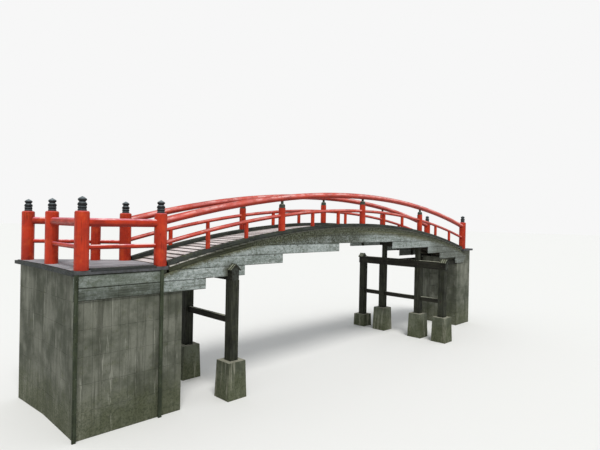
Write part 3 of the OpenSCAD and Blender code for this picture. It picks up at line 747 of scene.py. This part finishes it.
def dome(bm, centre, out, radius, height, sides=8):
    # a low round head, for nails and bolts
    out = out.normalized()
    side = out.orthogonal().normalized()
    other = out.cross(side)
    spokes = []
    for k in range(sides):
        a = 2 * math.pi * k / sides
        spokes.append(side * math.cos(a) + other * math.sin(a))
    rings = []
    for r, h in ((1.0, 0.0), (0.92, 0.6), (0.55, 0.95)):
        rings.append([bm.verts.new(centre + spoke * radius * r + out * height * h) for spoke in spokes])
    for a, b in zip(rings, rings[1:]):
        for k in range(sides):
            bm.faces.new((a[k], a[(k + 1) % sides], b[(k + 1) % sides], b[k]))
    bm.faces.new(rings[-1])
    bm.faces.new(rings[0][::-1])


def plankPlaces():
    # middle of each plank, the way across its width, and its way up
    radius = arcR - bridge["curbH"] - bridge["plankT"] / 2
    total = 2 * math.asin(deckPlan["reach"] / arcR) * arcR
    pitch = total / deckPlan["count"]
    spots = []
    for i in range(deckPlan["count"]):
        angle = ((i + 0.5) * pitch - total / 2) / arcR
        tip = angle * (1 - deckPlan["levelling"])
        centre = place(radius * math.sin(angle), 0, arcZ + radius * math.cos(angle))
        wide = Vector((math.cos(tip), 0, -math.sin(tip)))
        up = Vector((math.sin(tip), 0, math.cos(tip)))
        spots.append((centre, wide, up))
    return spots, pitch


def buildDeck():
    rng = random.Random(deckPlan["seed"])
    spots, pitch = plankPlaces()
    bm = bmesh.new()
    for i, (middle, wide, up) in enumerate(spots):
        centre = middle.copy()
        short = rng.uniform(0.0, 0.010)
        centre.y += rng.uniform(-1, 1) * short / 2
        length = 2 * bridge["deckHalf"] - short - 0.002
        thick = bridge["plankT"] - rng.uniform(0, 0.004)
        board(bm, centre, Vector((0, 1, 0)), wide, length, pitch - deckPlan["gap"], thick,
              14, deckPlan["wear"], i)
    obj = addPiece("deck_planks", meshFrom(bm, "deckPlanks"), planksFinish)
    softenEdges(obj, deckPlan["edge"])
    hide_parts("deck")
    nails = bmesh.new()
    for middle, wide, up in spots:
        top = middle + up * (bridge["plankT"] / 2 - 0.003)
        for y in deckPlan["nailRows"]:
            for w in deckPlan["nailPair"]:
                spot = top + wide * (w + rng.uniform(-0.01, 0.01))
                spot = spot + Vector((0, y + rng.uniform(-0.012, 0.012), 0))
                dome(nails, spot, up, deckPlan["nailRadius"], deckPlan["nailHeight"], 6)
    addPiece("deck_nails", meshFrom(nails, "deckNails", True), iron)


buildDeck()
print("deck laid")


fasciaPlan = {
    "joints": {"fascia_course_1": [-1.9, 2.6], "fascia_course_2": [-5.6, 4.9], "fascia_course_3": [-8.1, 7.4],
               "fascia_course_4": [7.9, -7.95], "fascia_course_5": []},
    "gap": 0.005, "edge": 0.004, "seed": 11, "nailRadius": 0.009, "nailHeight": 0.004,
    "nailPair": (-0.02, 0.02), "nailInset": 0.06, "sidingJoint": -9.85,
    "sidingNails": {"x": (-10.8, -9.75, -8.95), "down": (0.2, 0.36, 0.48, 0.64)},
    "studs": [-7.22, -5.83, -4.35, -2.87, -1.48, 0.0, 1.48, 2.87, 4.35, 5.83, 7.22],
    "leftSteps": [1.52, 4.38, 5.95, 7.34], "rightSteps": [2.01, 4.99, 6.11, 7.75],
}


def buildFascia():
    for name, joints in fasciaPlan["joints"].items():
        cuts = [x + bridge["shiftX"] for x in joints]
        mesh = slicedCopy(name, "x", cuts, fasciaPlan["gap"])
        finish = topBoards if name == "fascia_course_1" else greyBoards
        obj = addPiece(name + "_boards", mesh, finish)
        softenEdges(obj, fasciaPlan["edge"], 35)
        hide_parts(name)
    joint = fasciaPlan["sidingJoint"] + bridge["shiftX"]
    mesh = slicedCopy("landing_siding", "x", [joint], fasciaPlan["gap"])
    obj = addPiece("landing_siding_boards", mesh, sidingBoards)
    softenEdges(obj, fasciaPlan["edge"], 35)
    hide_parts("landing_siding")
    # nails through the courses into the studs
    rng = random.Random(fasciaPlan["seed"])
    radius, height = fasciaPlan["nailRadius"], fasciaPlan["nailHeight"]
    inset = fasciaPlan["nailInset"]
    nails = bmesh.new()
    low = bridge["landZ"] + bridge["fasciaLow"]
    for x in fasciaPlan["studs"]:
        top = archHeight(x, -bridge["fasciaDrop"]) - 0.05
        steps = fasciaPlan["rightSteps" if x > 0 else "leftSteps"]
        n = len([s for s in steps if abs(x) > s])
        z = low - bridge["courseH"] * n + inset
        while z < top:
            for side in (-1, 1):
                for dx in fasciaPlan["nailPair"]:
                    nailX = x + dx + rng.uniform(-0.008, 0.008)
                    nailZ = z + rng.uniform(-0.012, 0.012)
                    spot = place(nailX, side * (bridge["faceY"] - 0.001), nailZ)
                    dome(nails, spot, Vector((0, side, 0)), radius, height)
            z += bridge["courseH"] - 2 * inset if int(round((z - low) * 1000)) % 2 == 0 else 2 * inset
    for x in fasciaPlan["sidingNails"]["x"]:
        for down in fasciaPlan["sidingNails"]["down"]:
            spot = place(x + rng.uniform(-0.01, 0.01), 0.001 - bridge["faceY"], bridge["landZ"] - down)
            dome(nails, spot, Vector((0, -1, 0)), radius, height)
    addPiece("fascia_nails", meshFrom(nails, "fasciaNails", True), iron)


buildFascia()
print("fascia boarded")


# ends holds, for each pier, its place along the span, the ridge's height and the reach across
hoodPlan = {
    "rise": 0.155, "half": 0.165, "edge": 0.0025, "wear": 0.001, "overhang": 0.004,
    "boardWide": 0.10, "boardThick": 0.014, "boardGap": 0.004,
    "stripWide": 0.030, "stripThick": 0.010, "bargeWide": 0.026, "bargeDeep": 0.052,
    "ridgeWide": 0.05, "ridgeThick": 0.016,
    "ends": [(-6.45, 3.885, 1.157, 1.37), (4.45, 3.635, 2.11, 2.40)],
}


def buildHoods():
    boards = bmesh.new()
    trim = bmesh.new()
    slope = math.atan2(hoodPlan["rise"], hoodPlan["half"])
    run = math.hypot(hoodPlan["rise"], hoodPlan["half"])
    length = run + hoodPlan["overhang"]
    wear = hoodPlan["wear"]
    across = Vector((0, 1, 0))
    for x, ridge, y0, y1 in hoodPlan["ends"]:
        for side in (-1, 1):
            for s in (-1, 1):
                down = Vector((s * math.cos(slope), 0, -math.sin(slope)))
                out = Vector((s * math.sin(slope), 0, math.cos(slope)))
                count = max(2, round((y1 - y0) / hoodPlan["boardWide"]))
                pitch = (y1 - y0 - 0.022) / count
                for k in range(count):
                    centre = place(x, side * (y0 + pitch * (k + 0.5)), ridge) + down * (run / 2) + out * 0.014
                    board(boards, centre, down, across, length, pitch - hoodPlan["boardGap"],
                          hoodPlan["boardThick"], 4, wear, k + side)
                for k in range(1, count):
                    centre = place(x, side * (y0 + pitch * k), ridge) + down * (run / 2) + out * 0.024
                    board(trim, centre, down, across, length, hoodPlan["stripWide"],
                          hoodPlan["stripThick"], 3, wear, k)
                barge = y1 - hoodPlan["bargeWide"] / 2
                centre = place(x, side * barge, ridge) + down * (run / 2 + 0.004) + out * 0.002
                board(trim, centre, down, across, run + 0.012, hoodPlan["bargeWide"],
                      hoodPlan["bargeDeep"], 3, wear, 3)
            centre = place(x, side * (y0 + y1) / 2, ridge + 0.026)
            board(boards, centre, across, Vector((1, 0, 0)), y1 - y0, hoodPlan["ridgeWide"],
                  hoodPlan["ridgeThick"], 3, wear, 4)
    obj = addPiece("hood_boards", meshFrom(boards, "hoodBoards"), hoodBoardsFinish)
    softenEdges(obj, hoodPlan["edge"])
    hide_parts("beam_end_roofs")
    obj = addPiece("hood_trim", meshFrom(trim, "hoodTrim"), crossTimber)
    softenEdges(obj, hoodPlan["edge"])


buildHoods()
print("hoods built")


# finish of each node that keeps its solid, and how far its edges are rounded, 0 for round pieces
keptFinishes = {
    "left_landing": (slabFinish, 0.012), "right_landing": (slabFinish, 0.012),
    "landing_edge_beams": (edgeTimber, 0.006), "siding_battens": (battenTimber, 0.006),
    "girders": (girderTimber, 0.006), "curb_near": (curbTimber, 0.007), "curb_far": (curbTimber, 0.007),
    "rim_beam_near": (rimTimber, 0.006), "rim_beam_far": (rimTimber, 0.006),
    "fascia_studs": (pierTimber, 0.004), "left_cross_beam": (crossTimber, 0.006),
    "right_cross_beam": (crossTimber, 0.006), "right_cap_beam": (crossTimber, 0.006),
    "columns_left": (pierTimber, 0.010), "columns_right": (pierTimber, 0.010),
    "footings_left": (footFinish, 0.020), "footings_right": (footFinish, 0.020),
    "tie_beams": (crossTimber, 0.006), "side_beams": (sideTimber, 0.006),
    "top_rail_near": (redArch, 0), "top_rail_far": (redArch, 0),
    "lower_rail_near": (redLower, 0), "lower_rail_far": (redLower, 0),
    "main_posts": (redUp, 0), "short_posts_near": (redUp, 0), "short_posts_far": (redUp, 0),
    "newels_left": (redUp, 0), "newels_right": (redUp, 0), "wing_post": (redUp, 0),
    "post_caps": (capPatina, 0), "finials_left": (patina, 0), "finials_right": (patina, 0),
    "wing_rails_near": (redLevelX, 0), "wing_rails_front": (redLevelY, 0), "wing_rails_far": (redLevelX, 0),
}


def finishKept():
    for name, (finish, edge) in keptFinishes.items():
        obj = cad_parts[name]
        obj.data.materials.clear()
        obj.data.materials.append(finish)
        if edge:
            softenEdges(obj, edge, 50)
        else:
            smoothRound(obj, 40)


finishKept()
print("kept solids finished")


# the abutments' cast lifts: height of each, the groove between them and its cut
wallPlan = {"lift": 0.64, "groove": 0.012, "cut": 0.002, "lastLift": 0.2}


def buildWalls():
    for name in ("left_abutment", "right_abutment"):
        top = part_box(name)[1].z
        cuts = []
        z = wallPlan["lift"]
        while z < top - wallPlan["lastLift"]:
            cuts.append(z)
            z += wallPlan["lift"]
        obj = addPiece(name + "_wall", slicedCopy(name, "z", cuts, wallPlan["cut"]), wallFinish)
        softenEdges(obj, wallPlan["groove"], 50)
        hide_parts(name)


buildWalls()
print("walls built")


# spots holds place along the span, half the timber's thickness, places across, and depth under the landing
boltPlan = {
    "radius": 0.022, "head": 0.016, "washer": 0.038, "washerThick": 0.005,
    "spots": [
        (4.45, 0.125, (-2.19, -0.985, 0.985, 2.19), 0.60),
        (4.45, 0.14, (-2.19, -0.985, 0.985, 2.19), 2.18),
        (-6.45, 0.14, (-1.21, 1.21), 1.70),
    ],
}


def buildBolts():
    bm = bmesh.new()
    for s in (-1, 1):
        out = Vector((s, 0, 0))
        for x, half, rows, down in boltPlan["spots"]:
            for y in rows:
                spot = place(x + s * half, y, bridge["landZ"] - down)
                dome(bm, spot - out * 0.001, out, boltPlan["washer"], boltPlan["washerThick"], 16)
                dome(bm, spot + out * 0.003, out, boltPlan["radius"], boltPlan["head"], 6)
    addPiece("bolts", meshFrom(bm, "bolts"), iron)


buildBolts()
print("bolts set")


stagePlan = {
    "floor": paint(232, 232, 230), "floorHalf": 400.0, "floorDrop": 0.002,
    "sunStrength": 2.1, "sunAngle": 22.0, "sunColour": (1.0, 0.985, 0.96), "sunWay": (0.30, 0.55, -1.0),
    "sky": 0.62, "skyColour": (0.95, 0.98, 1.0, 1.0), "backdrop": (0.93, 0.93, 0.93, 1.0),
}


def buildStage():
    bm = bmesh.new()
    far, low = stagePlan["floorHalf"], -stagePlan["floorDrop"]
    corners = [bm.verts.new((x, y, low)) for x, y in ((-far, -far), (far, -far), (far, far), (-far, far))]
    bm.faces.new(corners)
    mesh = bpy.data.meshes.new("studioFloor")
    bm.to_mesh(mesh)
    bm.free()
    floor = bpy.data.objects.new("studioFloor", mesh)
    bpy.context.scene.collection.objects.link(floor)
    mat, tree, shader = newSurface("studioFloor", 0.9, specular=0.1)
    shader.inputs["Base Color"].default_value = stagePlan["floor"]
    mesh.materials.append(mat)

    world = bpy.data.worlds.new("studioWorld")
    bpy.context.scene.world = world
    world.use_nodes = True
    tree = world.node_tree
    tree.nodes.clear()
    out = tree.nodes.new("ShaderNodeOutputWorld")
    soft = tree.nodes.new("ShaderNodeBackground")
    soft.inputs["Color"].default_value = stagePlan["skyColour"]
    soft.inputs["Strength"].default_value = stagePlan["sky"]
    seen = tree.nodes.new("ShaderNodeBackground")
    seen.inputs["Color"].default_value = stagePlan["backdrop"]
    seen.inputs["Strength"].default_value = 1.0
    path = tree.nodes.new("ShaderNodeLightPath")
    mix = tree.nodes.new("ShaderNodeMixShader")
    tree.links.new(path.outputs["Is Camera Ray"], mix.inputs[0])
    tree.links.new(soft.outputs[0], mix.inputs[1])
    tree.links.new(seen.outputs[0], mix.inputs[2])
    tree.links.new(mix.outputs[0], out.inputs["Surface"])

    sun = bpy.data.lights.new("softSun", "SUN")
    sun.energy = stagePlan["sunStrength"]
    sun.angle = math.radians(stagePlan["sunAngle"])
    sun.color = stagePlan["sunColour"]
    lamp = bpy.data.objects.new("softSun", sun)
    lamp.rotation_euler = Vector(stagePlan["sunWay"]).to_track_quat("-Z", "Y").to_euler()
    bpy.context.scene.collection.objects.link(lamp)
    bpy.context.scene.view_settings.view_transform = "Standard"


# the lens and place that the photo was taken with; the angles are in degrees
cameraPlan = {
    "lens": 27.992, "sensor": 36.0, "yaw": 44.705, "pitch": -0.328, "roll": 1.167,
    "x": -14.843, "y": -12.265, "overLanding": 1.22,
}


def placeCamera():
    cam = bpy.data.cameras.new("viewCamera")
    cam.sensor_fit = "HORIZONTAL"
    cam.sensor_width = cameraPlan["sensor"]
    cam.lens = cameraPlan["lens"]
    cam.clip_end = 1000.0
    obj = bpy.data.objects.new("viewCamera", cam)
    yaw, pitch, roll = [math.radians(cameraPlan[turn]) for turn in ("yaw", "pitch", "roll")]
    ahead = Vector((math.cos(pitch) * math.cos(yaw), math.cos(pitch) * math.sin(yaw), math.sin(pitch)))
    right = Vector((math.sin(yaw), -math.cos(yaw), 0.0))
    up = right.cross(ahead)
    turnedRight = right * math.cos(roll) + up * math.sin(roll)
    turnedUp = up * math.cos(roll) - right * math.sin(roll)
    turn = Matrix((turnedRight, turnedUp, -ahead)).transposed()
    spot = place(cameraPlan["x"], cameraPlan["y"], bridge["landZ"] + cameraPlan["overLanding"])
    obj.matrix_world = Matrix.Translation(spot) @ turn.to_4x4()
    bpy.context.scene.collection.objects.link(obj)
    bpy.context.scene.camera = obj


buildStage()
placeCamera()
print("stage and camera set")

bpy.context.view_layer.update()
print("bridge ready")
